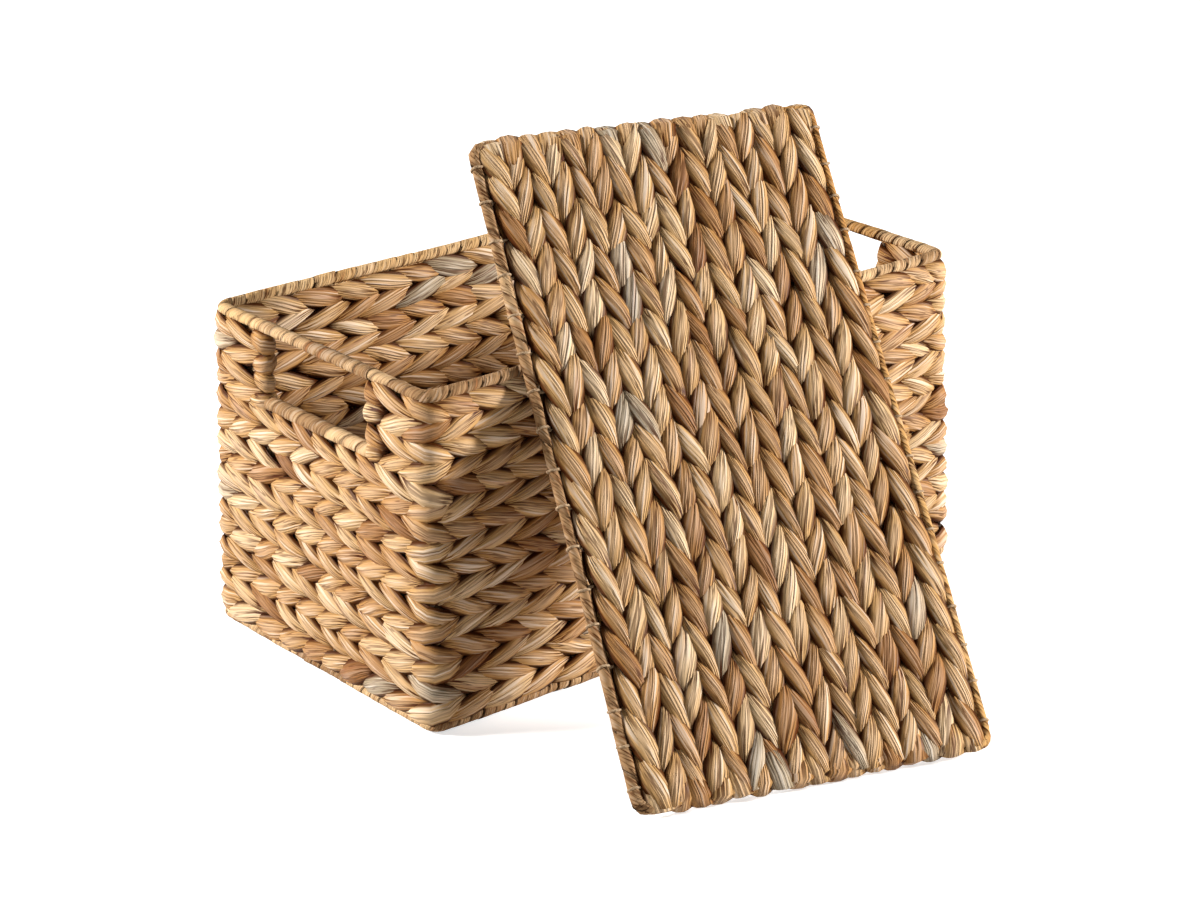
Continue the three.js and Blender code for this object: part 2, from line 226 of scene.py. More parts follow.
def stalkFinish(name, colours, look):
    # u runs along the stalk and v across it, so the pleats and fibres follow each leaf
    made = Finish(bpy.data.materials.new(name))
    uv = made.add("ShaderNodeUVMap", {"uv_map": "stalk"})
    along = made.add("ShaderNodeSeparateXYZ", None, (uv,))
    across = made.other(along, 1)
    tone = made.add("ShaderNodeAttribute", {"attribute_name": "tone"}, out=2)
    seed = made.add("ShaderNodeAttribute", {"attribute_name": "seed"}, out=2)
    here = made.add("ShaderNodeTexCoord", out=3)

    # noise drawn out along the leaf, different on every leaf
    pleat = abs(made.noise(made.vector(along * 1.3, across * look["pleats"], seed * 31), 1.0, 0.8) - 0.5)
    fibre = made.noise(made.vector(along * 1.8, across * look["fibres"], seed * 17), 1.0, 2.0, 0.6)
    streak = made.noise(made.vector(along * 0.8, across * 3.4, seed * 59), 1.0, 1.0)
    blotch = made.noise(made.vector(along * 2.6, across * 1.6, seed * 43), 1.0, 2.0)
    weather = made.noise(here, 16.0, 2.0)
    endwards, sidewards = abs(along - 0.5), abs(across - 0.5)

    shade = made.ramp(tone + (blotch - 0.5) * 0.22 + (weather - 0.5) * 0.16, colours["tones"])
    rusty = made.between(streak, 0.60, 0.78) * 0.55
    shade = made.blend(rusty, shade, colours["rust"])

    highlightShare = made.between(tone, 0.0, 0.5) * 0.8 + 0.2  # brown leaves take less of the painted highlight
    # painted highlights: pale ridges on the pleats, and a pale middle on each leaf's crown where the light
    # falls
    middle = made.between(endwards, 0.36, 0.04) * made.between(sidewards, 0.36, 0.05)
    paintedHighlights = made.between(pleat, 0.12, 0.24) * look["highlight"] + middle * look["middle"]
    shade = made.blend(paintedHighlights * highlightShare, shade, colours["paleHighlight"])
    # pale fibres, partly the stalk's own grain and partly painted highlight
    paleFibreHighlights = made.between(fibre, 0.57, 0.72) * 0.5 * look["highlight"]
    shade = made.blend(paleFibreHighlights * highlightShare, shade, colours["paleHighlight"])

    darkFibres = made.between(fibre, 0.43, 0.29) * 0.27 * look["creases"]
    shade = made.blend(darkFibres, shade, colours["crease"])
    # painted crease shade: dark hairlines in the creases between the pleats, darkest in the blotches and
    # towards the ends
    blotched = made.between(blotch + streak, 0.75, 1.10) * 0.40
    drawnIn = made.between(endwards, 0.05, 0.34) * 0.50
    creaseShade = made.between(pleat, 0.050, 0.014) * look["creases"]
    shade = made.blend(creaseShade * (blotched + drawnIn + 0.22), shade, colours["crease"])
    # painted shade at a leaf's sides and ends, where it runs under its neighbours
    side = made.between(sidewards, 0.29, 0.44) * look["side"]
    ends = made.between(endwards, 0.29, 0.45) * look["ends"]
    shade = made.blend(side + ends, shade, colours["crease"])

    height = made.between(pleat, 0.0, 0.20) * 0.55 + fibre * 0.18
    normal = made.add("ShaderNodeBump", None, {"Strength": 1.0, "Distance": look["bump"], "Height": height})
    return made.finishWith(
        Base_Color=shade,
        Roughness=look["rough"] + (fibre - 0.5) * 0.2,
        Normal=normal,
        Specular_IOR_Level=look["shine"],
    )


def wireFinish():
    # dull brown wire with rusty spots
    made = Finish(bpy.data.materials.new("frameWire"))
    here = made.add("ShaderNodeTexCoord", out=3)
    spots = made.between(made.noise(here, 260.0, 4.0), 0.45, 0.65)
    colour = made.blend(spots, (0.085, 0.060, 0.042), (0.150, 0.075, 0.032))
    return made.finishWith(Base_Color=colour, Roughness=0.5 + spots * 0.35, Metallic=0.35 - spots * 0.35)


def cordFinish():
    # pale twisted cord
    made = Finish(bpy.data.materials.new("warpCord"))
    here = made.add("ShaderNodeTexCoord", out=3)
    strands = made.noise(here, 900.0, 3.0)
    colour = made.blend(made.between(strands, 0.35, 0.65), (0.24, 0.14, 0.065), (0.48, 0.33, 0.19))
    normal = made.add("ShaderNodeBump", None, {"Strength": 0.6, "Distance": 0.3 * mm, "Height": strands})
    return made.finishWith(Base_Color=colour, Roughness=0.8, Normal=normal)


# Modelling by hand

def startPiece():
    if bpy.context.object and bpy.context.object.mode != "OBJECT":
        bpy.ops.object.mode_set(mode="OBJECT")
    bpy.ops.object.select_all(action="DESELECT")


def pick(piece, test):
    # selects the points of a piece in edit mode by their place
    points = bmesh.from_edit_mesh(piece.data)
    for point in points.verts:
        point.select = bool(test(point.co))
    points.select_flush(True)
    bmesh.update_edit_mesh(piece.data)


class Blank:
    # a modelled strip as arrays, ready to be copied and laid into the weave
    def __init__(self, piece):
        mesh = piece.data
        self.points = np.array([point.co for point in mesh.vertices])
        self.faces = [list(face.vertices) for face in mesh.polygons]
        layer = mesh.uv_layers.active.data
        self.uv = np.array([layer[loop].uv for face in mesh.polygons for loop in face.loop_indices])
        under = self.points[:, 2] < -0.2  # only the points of a keel lie so low
        keel = np.array([under[corner] for face in self.faces for corner in face])
        self.onTop = []
        at = 0
        for face in self.faces:
            self.onTop += [not keel[at:at + len(face)].any()] * len(face)
            at += len(face)
        self.onTop = np.array(self.onTop)
        self.uv[keel, 1] = 0.5
        bpy.data.objects.remove(piece)


leafShape = {
    "lengthwise": 8,  # faces along a leaf
    "crosswise": 7,  # faces across it
    "taper": 0.70,  # how soon the width draws in towards the tips
    "tip": 0.22,  # width left at the tips
    "crown": 2.0,  # power of its round
    "pleat": 0.08,  # height of a pleat
    "pleatFade": 0.3,  # power by which the pleats die out at its sides
    "thinning": 0.85,  # power by which its height follows its width
    "keel": 0.35,  # how far it is closed below its edges
    "keelLength": 0.92,
}
lidLeafShape = dict(leafShape, taper=0.85, tip=0.14)  # more pointed
wrapShape = dict(leafShape, taper=0.35, tip=0.3, pleat=0.04)  # where a strand turns back round a wire


def leafOutline(x, shape):
    return shape["tip"] + (1 - shape["tip"]) * math.cos(x * math.pi / 2) ** shape["taper"]


def modelLeaf(number, shape):
    # one stalk as it lies over one upright: 2 long, 2 wide and 1 high
    startPiece()
    bpy.ops.mesh.primitive_grid_add(
        x_subdivisions=shape["lengthwise"], y_subdivisions=shape["crosswise"], size=2)
    leaf = bpy.context.object
    leaf.name = f"leafBlank{number}"
    bpy.ops.object.mode_set(mode="EDIT")
    bpy.ops.mesh.select_mode(type="VERT")
    # crown the lengthwise lines, with a pleat between every two of them
    for line in range(shape["crosswise"] + 1):
        y = 2 * line / shape["crosswise"] - 1
        fade = (1 - abs(y)) ** shape["pleatFade"]
        pleat = shape["pleat"] * ((-1) ** line + dice.uniform(-1, 1)) * fade
        pick(leaf, lambda point: abs(point.y - y) < 1e-3)
        bpy.ops.transform.translate(value=(0, 0, (1 - abs(y) ** shape["crown"]) + pleat))
    # draw the cross lines in to the tips
    for line in range(shape["lengthwise"] + 1):
        x = 2 * line / shape["lengthwise"] - 1
        width = leafOutline(x, shape)
        pick(leaf, lambda point: abs(point.x - x) < 1e-3)
        height = width ** shape["thinning"]
        bpy.ops.transform.resize(value=(1, width, height), center_override=(x, 0, 0))
    # close it underneath with a keel
    bpy.ops.mesh.select_all(action="DESELECT")
    bpy.ops.mesh.select_non_manifold()
    bpy.ops.mesh.extrude_region_move(TRANSFORM_OT_translate={"value": (0, 0, -shape["keel"])})
    bpy.ops.transform.resize(value=(shape["keelLength"], 0, 1), center_override=(0, 0, 0))
    bpy.ops.mesh.select_all(action="SELECT")
    bpy.ops.mesh.remove_doubles(threshold=1e-4)
    bpy.ops.mesh.normals_make_consistent(inside=False)
    bpy.ops.object.mode_set(mode="OBJECT")
    return Blank(leaf)


class Path:
    # a line in the plane of a row: points with the direction that their outer side faces
    def __init__(self, points, angles, closed=False, turnRadius=3.5 * mm):
        points = np.array(points, float)
        self.x, self.y = points.T
        self.angle = np.radians(angles)
        steps = np.hypot(np.diff(self.x), np.diff(self.y))
        steps = np.where(steps < 0.01 * mm, turnRadius * np.abs(np.diff(self.angle)), steps)
        self.s = np.concatenate(([0], np.cumsum(steps)))
        self.length = self.s[-1]
        self.closed = closed

    def at(self, s):
        if self.closed:
            turns = np.floor(s / self.length)
            inside = s - turns * self.length
        else:
            turns, inside = 0, s
        first, last = self.s[0], self.s[-1]
        angle = np.interp(inside, self.s, self.angle) + turns * 2 * math.pi
        x = np.interp(inside, self.s, self.x)
        y = np.interp(inside, self.s, self.y)
        # an open path runs on straight past its ends
        past = np.where(inside < first, inside - first, np.where(inside > last, inside - last, 0))
        return x - np.sin(angle) * past, y + np.cos(angle) * past, angle

    def nearest(self, x, y):
        fine = np.linspace(0, self.length, 6000)  # several to the millimetre
        px, py, _ = self.at(fine)
        return fine[np.argmin((px - x) ** 2 + (py - y) ** 2)]


def cornerPoints(halfX, halfY, radius, quarter, steps=12):
    turn = np.linspace(quarter * 90, quarter * 90 + 90, steps + 1)
    signX = 1 if quarter in (0, 3) else -1
    signY = 1 if quarter in (0, 1) else -1
    x = signX * (halfX - radius) + radius * np.cos(np.radians(turn))
    y = signY * (halfY - radius) + radius * np.sin(np.radians(turn))
    return list(zip(x, y)), list(turn)


def ringPath(halfX, halfY, radius):
    points, angles = [], []
    for quarter in range(4):
        cornerAt, turn = cornerPoints(halfX, halfY, radius, quarter)
        points += cornerAt
        angles += turn
    return Path(points + points[:1], angles + [360], closed=True)


def wallPath(halfX, halfY, radius, side, endY):
    # round one long wall, from the line y = endY on one end wall to the same line on the other
    first = 0 if side > 0 else 2
    points, angles = [(side * halfX, side * endY)], [first * 90]
    for quarter in (first, first + 1):
        cornerAt, turn = cornerPoints(halfX, halfY, radius, quarter)
        points += cornerAt
        angles += turn
    return Path(points + [(-side * halfX, side * endY)], angles + [first * 90 + 180])


def turnedBack(path):
    # the same path, turned back round the wire at each of its ends
    points = list(zip(path.x, path.y))
    angles = list(np.degrees(path.angle))
    return Path(points[:1] + points + points[-1:], [angles[0] - 180] + angles + [angles[-1] + 180])


class RowMesh:
    # gathers the copies of a row and makes them one mesh
    def __init__(self):
        self.points, self.faces, self.uv, self.top = [], [], [], []
        self.tone, self.seed, self.count = [], [], 0

    def put(self, blank, points, tone):
        self.points.append(points)
        self.faces += [[corner + self.count for corner in face] for face in blank.faces]
        self.uv.append(blank.uv)
        self.top.append(blank.onTop)
        self.count += len(points)
        self.tone.append(np.full(len(points), tone))
        self.seed.append(np.full(len(points), dice.uniform()))

    def make(self, name, finish, axes=None):
        points = np.concatenate(self.points)
        if axes is not None:
            points = points @ axes[:3] + axes[3]
        mesh = bpy.data.meshes.new(name)
        mesh.from_pydata(points.tolist(), [], self.faces)
        stalk = mesh.uv_layers.new(name="stalk")
        stalk.uv.foreach_set("vector", np.concatenate(self.uv).astype(np.float32).ravel())
        bake = mesh.uv_layers.new(name="OFBake")
        bake.uv.foreach_set("vector", self.bakeMap().astype(np.float32).ravel())
        for label, values in (("tone", self.tone), ("seed", self.seed)):
            layer = mesh.attributes.new(label, "FLOAT", "POINT")
            layer.data.foreach_set("value", np.concatenate(values).astype(np.float32))
        mesh.polygons.foreach_set("use_smooth", np.ones(len(mesh.polygons), bool))
        mesh.update()
        piece = bpy.data.objects.new(name, mesh)
        bpy.context.scene.collection.objects.link(piece)
        mesh.materials.append(finish)
        return piece

    def bakeMap(self):
        # each copy has a cell of its own, its upper face over its keel
        cells = math.ceil(math.sqrt(len(self.uv)))
        margin = 0.06
        maps = []
        for number, (uv, top) in enumerate(zip(self.uv, self.top)):
            inCell = margin + (1 - 2 * margin) * uv
            inCell[:, 1] = inCell[:, 1] / 2 + np.where(top, 0.5, 0)
            maps.append((inCell + (number % cells, number // cells)) / cells)
        return np.concatenate(maps)


leafBlanks, lidLeafBlanks, wrapBlanks = [], [], []
twist = {
    "blanks": leafBlanks,
    "reach": 1.04,  # half a leaf's length as a share of the distance to the next upright
    "depth": 2.6 * mm,  # middle of a strand from the middle of the wall
    "crown": 3.6 * mm,  # height of a leaf over its edges
    "rise": 4.8 * mm,  # how far a leaf climbs across its row, up and down
    "width": 7.4 * mm,  # half a leaf's width
    "tilt": 24,  # degrees that its face turns towards its tips
    "tuck": 105,  # degrees of the turn round the other strand
    "sway": 0.9 * mm,  # how far a row wanders from its line
    "waves": (38, 25),  # and how soon, along the row and from row to row, radians to the metre
    "drop": 0.0,  # how far a row hangs below its line
    "wrap": (0.95, 1.0),  # width and height of a turn round a wire, as shares of a leaf's
    "tail": 20 * mm,  # reach of such a turn to each side
    "ease": (0.7, 0.5, 0.4),  # shares of depth lost and of rise and tilt kept in such a turn
}
uneven = {  # how far single leaves differ
    "stretch": (0.88, 1.12),
    "shift": 1.5 * mm,
    "tuck": 6,
    "depth": 0.35 * mm,
    "rise": (0.7, 1.3),
    "width": (0.82, 1.16),
    "crown": (0.78, 1.16),
    "level": 0.4 * mm,
    "bow": 0.5 * mm,
}
leafTones = {  # most leaves are honey to cream; a few are brown or grey green
    "brownShare": 0.04,
    "brown": (0.04, 0.18),
    "greyShare": 0.05,
    "grey": (0.94, 1.06),
    "usual": (0.50, 0.16),
    "limits": (0.18, 0.84),
}


def pickTone():
    roll = dice.uniform()
    if roll < leafTones["brownShare"]:
        return dice.uniform(*leafTones["brown"])
    if roll > 1 - leafTones["greyShare"]:
        return dice.uniform(*leafTones["grey"])
    return float(np.clip(dice.normal(*leafTones["usual"]), *leafTones["limits"]))


def layLeaf(row, path, s, before, after, height, hand, face, shape, wrap=False):
    # one pass of a strand over an upright: hand is the way it climbs, face +1 outside and -1 inside
    blanks = wrapBlanks if wrap else shape["blanks"]
    wrapWide, wrapHigh = shape["wrap"] if wrap else (1, 1)
    easeDepth, easeRise, easeTilt = shape["ease"] if wrap else (0, 1, 1)
    blank = blanks[dice.integers(len(blanks))]
    x, y, z = blank.points.T
    stretch = dice.uniform(*uneven["stretch"])
    s = s + dice.normal(0, uneven["shift"])
    along = s + face * x * stretch * np.where(x * face < 0, before, after)
    turn = x * math.radians(shape["tuck"] + dice.normal(0, uneven["tuck"]))
    deep = shape["depth"] + dice.normal(0, uneven["depth"])
    depth = deep * (1 - easeDepth * x ** 4 if wrap else np.cos(turn))
    rise = hand * shape["rise"] * dice.uniform(*uneven["rise"]) * easeRise
    tilt = hand * x * math.radians(shape["tilt"]) * easeTilt
    wide = y * shape["width"] * dice.uniform(*uneven["width"]) * wrapWide
    high = z * shape["crown"] * dice.uniform(*uneven["crown"]) * wrapHigh
    out = depth + high * np.cos(tilt) - wide * np.sin(tilt)
    alongWave, upWave = shape["waves"]
    sway = shape["sway"] * math.sin(s * alongWave + height * upWave) + dice.normal(0, uneven["level"])
    bow = dice.normal(0, uneven["bow"]) * (1 - x ** 2)
    climb = rise * np.sin(x * math.pi / 2)
    level = height + sway + bow + climb + high * np.sin(tilt) + wide * np.cos(tilt)
    px, py, angle = path.at(along)
    points = np.stack([px + face * out * np.cos(angle), py + face * out * np.sin(angle), level], 1)
    row.put(blank, points, pickTone())


def layPasses(row, path, uprights, height, hand, shape, closed):
    # both strands over every upright of a row
    count = len(uprights)
    for number in range(count):
        here = uprights[number]
        if closed:
            before = here - uprights[number - 1] + (path.length if number == 0 else 0)
            after = uprights[(number + 1) % count] - here + (path.length if number == count - 1 else 0)
        else:
            before = here - uprights[number - 1] if number else uprights[1] - here
            after = uprights[number + 1] - here if number < count - 1 else before
        for face in (1, -1):
            layLeaf(row, path, here, shape["reach"] * before, shape["reach"] * after,
                    height, hand, face, shape)


def layWraps(row, path, height, hand, shape):
    # a strand turned back round the wire at each end of a row
    tail = shape["tail"]
    for middle in ((path.s[0] + path.s[1]) / 2, (path.s[-1] + path.s[-2]) / 2):
        layLeaf(row, path, middle, tail, tail, height, hand, 1, shape, wrap=True)


def dress(piece, body, node):
    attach(piece, body)
    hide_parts(node)


# The box

boxSetup = {
    "wall": 11.0 * mm,
    "radius": 6.5 * mm,  # middle line of the corners
    "longStakes": 15,
    "sillStakes": 4,
    "rimX": 192.5 * mm,  # half the length of the rim wire
    "courses": 16,
    "ringCourses": 12,  # those that run right round
    "jambRoom": 5 * mm,  # an upright nearer to a jamb than this is left to the turn round it
    "onPath": 2 * mm,  # and one further from a course than this isn't in it
}


def endStakes(jamb, halfY):
    # places along an end wall: under the sill, the jambs, and between a jamb and its corner post
    setup = boxSetup
    sill = [jamb * (2 * i / (setup["sillStakes"] + 1) - 1) for i in range(1, setup["sillStakes"] + 1)]
    run = halfY - setup["radius"] + setup["radius"] * math.pi / 4 - jamb
    side = jamb + run / 2
    return sorted(sill + [jamb, -jamb, side, -side])


def longStakes():
    # places along a long wall
    setup = boxSetup
    pitch = 2 * (setup["rimX"] - setup["radius"]) / setup["longStakes"]
    middle = (setup["longStakes"] - 1) / 2
    return [(i - middle) * pitch for i in range(setup["longStakes"])]


def boxUprights(path, halfX, halfY, jamb):
    # the distance along a path of every upright that it passes
    setup = boxSetup
    inset = setup["radius"] * (1 - math.sqrt(0.5))
    spots = [(x, side * halfY) for x in longStakes() for side in (-1, 1)]
    spots += [(end * halfX, y) for y in endStakes(jamb, halfY) for end in (-1, 1)]
    spots += [(end * (halfX - inset), side * (halfY - inset)) for end in (-1, 1) for side in (-1, 1)]
    found = []
    for x, y in spots:
        s = path.nearest(x, y)
        px, py, _ = path.at(np.array([s]))
        if math.hypot(px[0] - x, py[0] - y) < setup["onPath"]:
            found.append(s)
    return sorted(found)


lowTwist = dict(twist, width=8.1 * mm, depth=2.9 * mm, drop=1.8 * mm)  # hangs over the base winding


def weaveBox(finish):
    setup = boxSetup
    half = setup["wall"] / 2
    low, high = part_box("course_13_front")
    jamb = -high.y + half
    for number in range(1, setup["courses"] + 1):
        hand = 1 if number % 2 else -1
        if number <= setup["ringCourses"]:
            node = f"course_{number:02d}"
            low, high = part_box(node)
            path = ringPath(high.x - half, high.y - half, setup["radius"])
            row = RowMesh()
            uprights = boxUprights(path, high.x - half, high.y - half, jamb)
            shape = lowTwist if number == 1 else twist
            level = (low.z + high.z) / 2 - shape["drop"]
            layPasses(row, path, uprights, level, hand, shape, True)
            dress(row.make(f"twinedCourse_{number:02d}", finish), "box", node)
            continue
        for part, side in (("front", -1), ("back", 1)):
            node = f"course_{number:02d}_{part}"
            low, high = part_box(node)
            halfX, halfY = high.x - half, max(-low.y, high.y) - half
            path = turnedBack(wallPath(halfX, halfY, setup["radius"], side, jamb))
            row = RowMesh()
            level = (low.z + high.z) / 2
            first, last = path.s[1] + setup["jambRoom"], path.s[-2] - setup["jambRoom"]
            uprights = [s for s in boxUprights(path, halfX, halfY, jamb) if first < s < last]
            layPasses(row, path, uprights, level, hand, twist, False)
            layWraps(row, path, level, hand, twist)
            dress(row.make(f"twinedCourse_{number:02d}_{part}", finish), "box", node)
    print("box woven")


# The base

baseTwist = dict(twist, depth=2.1 * mm, crown=2.0 * mm, rise=3.2 * mm, width=5.9 * mm)
baseSetup = {
    "plaits": 7,
    "rows": 3,  # in each plait
    "bars": 15,
    "end": 5.1 * mm,  # from the end bars to the ends of the plaits
}


def weaveBase(finish):
    axes = np.array([(1, 0, 0), (0, 0, -1), (0, 1, 0), (0, 0, 0)], float)
    for number in range(1, baseSetup["plaits"] + 1):
        node = f"base_plait_{number:02d}"
        low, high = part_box(node)
        reach = high.x - baseSetup["end"]
        path = turnedBack(Path([(reach, 0), (-reach, 0)], [90, 90]))
        bars = list(np.linspace(path.s[1], path.s[-2], baseSetup["bars"]))[1:-1]
        row = RowMesh()
        pitch = (high.y - low.y) / baseSetup["rows"]
        for strand in range(baseSetup["rows"]):
            hand = 1 if (number * baseSetup["rows"] + strand) % 2 else -1
            level = low.y + (strand + 0.5) * pitch
            layPasses(row, path, bars, level, hand, baseTwist, False)
            layWraps(row, path, level, hand, baseTwist)
        axes[3] = (0, 0, (low.z + high.z) / 2)
        dress(row.make(f"twinedBase_{number:02d}", finish, axes), "box", node)
    print("base woven")


# The lid

lidSetup = {
    "rows": 17,
    "cords": 17,
    "thickness": 11.0 * mm,
    "shifts": {1: 0.6 * mm, 17: 2.4 * mm},  # the last row lies over its winding, the first leaves a slit
}
lidTwist = dict(
    twist,
    blanks=lidLeafBlanks,
    reach=1.12,
    rise=5.4 * mm,
    width=7.3 * mm,
    crown=3.3 * mm,
    tuck=100,
    wrap=(1.15, 0.8),
    tail=25 * mm,
)


def nodePoints(node):
    return np.array([point.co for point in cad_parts[node].data.vertices])


def lidAxes():
    # the lid's own directions: along its length, out of its face and across it, and its middle
    left, right = nodePoints("lid_binding_left"), nodePoints("lid_binding_right")
    across = right.mean(0) - left.mean(0)
    across /= np.linalg.norm(across)
    spread = left - left.mean(0)
    along = np.linalg.svd(spread, full_matrices=False)[2][0]
    along *= math.copysign(1, along[2])
    return np.array([along, np.cross(across, along), across, (left.mean(0) + right.mean(0)) / 2])


def extent(node, axes, direction):
    places = (nodePoints(node) - axes[3]) @ axes[direction]
    return places.min(), places.max()


def weaveLid(finish, axes):
    low, high = extent("lid_row_01", axes, 0)
    reach = (high - low) / 2 - lidSetup["thickness"] / 2
    path = turnedBack(Path([(reach, 0), (-reach, 0)], [90, 90]))
    pitch = 2 * reach / lidSetup["cords"]
    cords = [path.s[1] + (i + 0.5) * pitch for i in range(lidSetup["cords"])]
    for number in range(1, lidSetup["rows"] + 1):
        node = f"lid_row_{number:02d}"
        hand = 1 if number % 2 else -1
        near, far = extent(node, axes, 2)
        level = (near + far) / 2 + lidSetup["shifts"].get(number, 0)
        row = RowMesh()
        layPasses(row, path, cords, level, hand, lidTwist, False)
        layWraps(row, path, level, hand, lidTwist)
        dress(row.make(f"twinedLidRow_{number:02d}", finish, axes), "lid", node)
    print("lid woven")


# Bindings

stripShape = {
    "around": 12,  # faces round the wire
    "across": 4,  # faces across the strip
    "crown": 0.12,
    "round": 3,  # power of its round
    "keel": 0.9,
}


def modelTurn(shape):
    # one turn of a flat strip, laid out flat: 1 round the wire, 1 wide, with a crowned face and a keel
    startPiece()
    bpy.ops.mesh.primitive_grid_add(
        x_subdivisions=shape["around"], y_subdivisions=shape["across"], size=1)
    strip = bpy.context.object
    bpy.ops.object.mode_set(mode="EDIT")
    bpy.ops.mesh.select_mode(type="VERT")
    for line in range(shape["across"] + 1):
        y = line / shape["across"] - 0.5
        pick(strip, lambda point: abs(point.y - y) < 1e-3)
        high = shape["crown"] * (1 - (2 * abs(y)) ** shape["round"])
        bpy.ops.transform.translate(value=(0, 0, high))
    bpy.ops.mesh.select_all(action="DESELECT")
    bpy.ops.mesh.select_non_manifold()
    bpy.ops.mesh.extrude_region_move(TRANSFORM_OT_translate={"value": (0, 0, -shape["keel"])})
    bpy.ops.transform.resize(value=(1, 0, 1), center_override=(0, 0, 0))
    bpy.ops.mesh.select_all(action="SELECT")
    bpy.ops.mesh.remove_doubles(threshold=1e-4)
    bpy.ops.mesh.normals_make_consistent(inside=False)
    bpy.ops.object.mode_set(mode="OBJECT")
    return Blank(strip)


winding = {
    "width": 13.0 * mm,  # of one turn, along the wire
    "baseWidth": 8 * mm,
    "lidWidth": 21 * mm,
    "pitch": (0.70, 1.25),  # how much the turns differ
    "cover": (1.08, 1.20),  # how far a turn laps over the next
    "start": 0.8,  # turns before the start of the wire
    "rest": 2 * mm,  # a piece of wire shorter than this gets no turn of its own
    "bulge": 0.32 * mm,  # how much the thickness wanders
    "steady": 0.6,  # and how much of it a turn keeps from the one before
    "baseInset": 0.8 * mm,  # how much thinner the base winding is than its solid
    "gripPast": 3 * mm,  # how far grips and sills run into the strands round the jambs
    "thin": 0.8 * mm,  # the strip's crown and keel
    "seam": 225,  # degrees round the wire at which one turn meets the next: inside and below
    "lap": (0.10 * mm, 0.10 * mm, 0.28 * mm),  # how far one edge of a turn sinks under its neighbour
    "join": 0.2,  # how often a new strip starts, with a tone of its own
    "joinTone": 0.12,
    "turnTone": 0.05,  # how much the tones of single turns differ
    "toneLimits": (0.05, 1.05),
    "tones": {  # of each winding where it starts and where it ends
        "base_binding": (0.97, 0.97),
        "rim_binding_front": (0.98, 0.88),
        "rim_binding_back": (0.98, 0.92),
        "handle_grip_left": (0.92, 1.05),
        "handle_grip_right": (0.50, 0.45),
        "sill_binding_left": (0.93, 0.95),
        "sill_binding_right": (0.93, 0.95),
        "lid_binding_left": (1.05, 0.98),
        "lid_binding_right": (0.35, 0.50),
    },
}


def windBinding(node, name, path, level, outside, finish, blank, width=winding["width"], axes=None):
    # a strip wound round a wire from one end to the other
    row = RowMesh()
    first, last = winding["tones"][node]
    x, y, z = blank.points.T
    turn = x * 2 * math.pi + math.radians(winding["seam"] - 180)
    s, size, drift = -winding["start"] * width, outside / 2, 0.0
    follow, steady = width, winding["steady"]
    while s < path.length - winding["rest"]:
        # a turn is as wide at its end as the next one at its start, so no gap opens between them
        pitch = min(follow, path.length - s)
        follow = min(width * dice.uniform(*winding["pitch"]), max(path.length - s - pitch, pitch))
        if dice.uniform() < winding["join"]:
            drift = dice.normal(0, winding["joinTone"])
        tone = first + (last - first) * np.clip(s / path.length, 0, 1) + drift
        cover = dice.uniform(*winding["cover"]) * (pitch * (0.5 - x) + follow * (0.5 + x))
        along = s + (x + 0.5) * pitch + (y + 0.5) * cover
        size = steady * size + (1 - steady) * (outside / 2 + dice.normal(0, winding["bulge"]))
        radius = size + z * winding["thin"] - y * dice.choice(winding["lap"])
        px, py, angle = path.at(along)
        points = np.stack([
            px + radius * np.cos(turn) * np.cos(angle),
            py + radius * np.cos(turn) * np.sin(angle),
            level + radius * np.sin(turn),
        ], 1)
        tone = np.clip(tone + dice.normal(0, winding["turnTone"]), *winding["toneLimits"])
        row.put(blank, points, float(tone))
        s += pitch
    return row.make(name, finish, axes)


def bindBox(finish, blank):
    setup = boxSetup
    node = "base_binding"
    low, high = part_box(node)
    thick = high.z - low.z
    path = ringPath(high.x - thick / 2, high.y - thick / 2, setup["radius"])
    level = (low.z + high.z) / 2
    outside = thick - winding["baseInset"]
    piece = windBinding(node, "baseWinding", path, level, outside, finish, blank, winding["baseWidth"])
    dress(piece, "box", node)
    gripLow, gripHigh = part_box("handle_grip_right")
    thick = gripHigh.z - gripLow.z
    level = (gripLow.z + gripHigh.z) / 2
    for part, side in (("front", -1), ("back", 1)):
        node = f"rim_binding_{part}"
        low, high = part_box(node)
        halfY = max(-low.y, high.y) - thick / 2
        path = wallPath(high.x - thick / 2, halfY, setup["radius"], side, gripHigh.y)
        piece = windBinding(node, f"rimWinding_{part}", path, level, thick, finish, blank)
        dress(piece, "box", node)
    for kind, label in (("handle_grip", "gripWinding"), ("sill_binding", "sillWinding")):
        for part, end in (("left", -1), ("right", 1)):
            node = f"{kind}_{part}"
            low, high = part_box(node)
            thick = high.x - low.x
            x = (low.x + high.x) / 2
            angle = 0 if end > 0 else 180
            reach = high.y + winding["gripPast"]
            path = Path([(x, -end * reach), (x, end * reach)], [angle, angle])
            piece = windBinding(node, f"{label}_{part}", path, high.z - thick / 2, thick, finish, blank)
            dress(piece, "box", node)
    print("box bound")


lidEdge = {"radius": 5 * mm, "corner": 11 * mm}  # bend of the wire, and how far the winding passes it


def bindLid(finish, blank, axes):
    # the winding of a long side runs on round both corners; it lies in the plane of the lid
    flat = np.array([axes[0], axes[2], -axes[1], axes[3]])
    halfX = extent("lid_row_01", axes, 0)[1] - lidSetup["thickness"] / 2
    for part, side in (("left", -1), ("right", 1)):
        node = f"lid_binding_{part}"
        near, far = extent(node, axes, 2)
        thin, thick = extent(node, axes, 1)
        halfY = abs(near + far) / 2
        path = wallPath(halfX, halfY, lidEdge["radius"], side, halfY - lidEdge["corner"])
        outside = thick - thin
        piece = windBinding(
            node, f"lidWinding_{part}", path, 0.0, outside, finish, blank, winding["lidWidth"], flat)
        dress(piece, "lid", node)
    print("lid bound")


# Frames

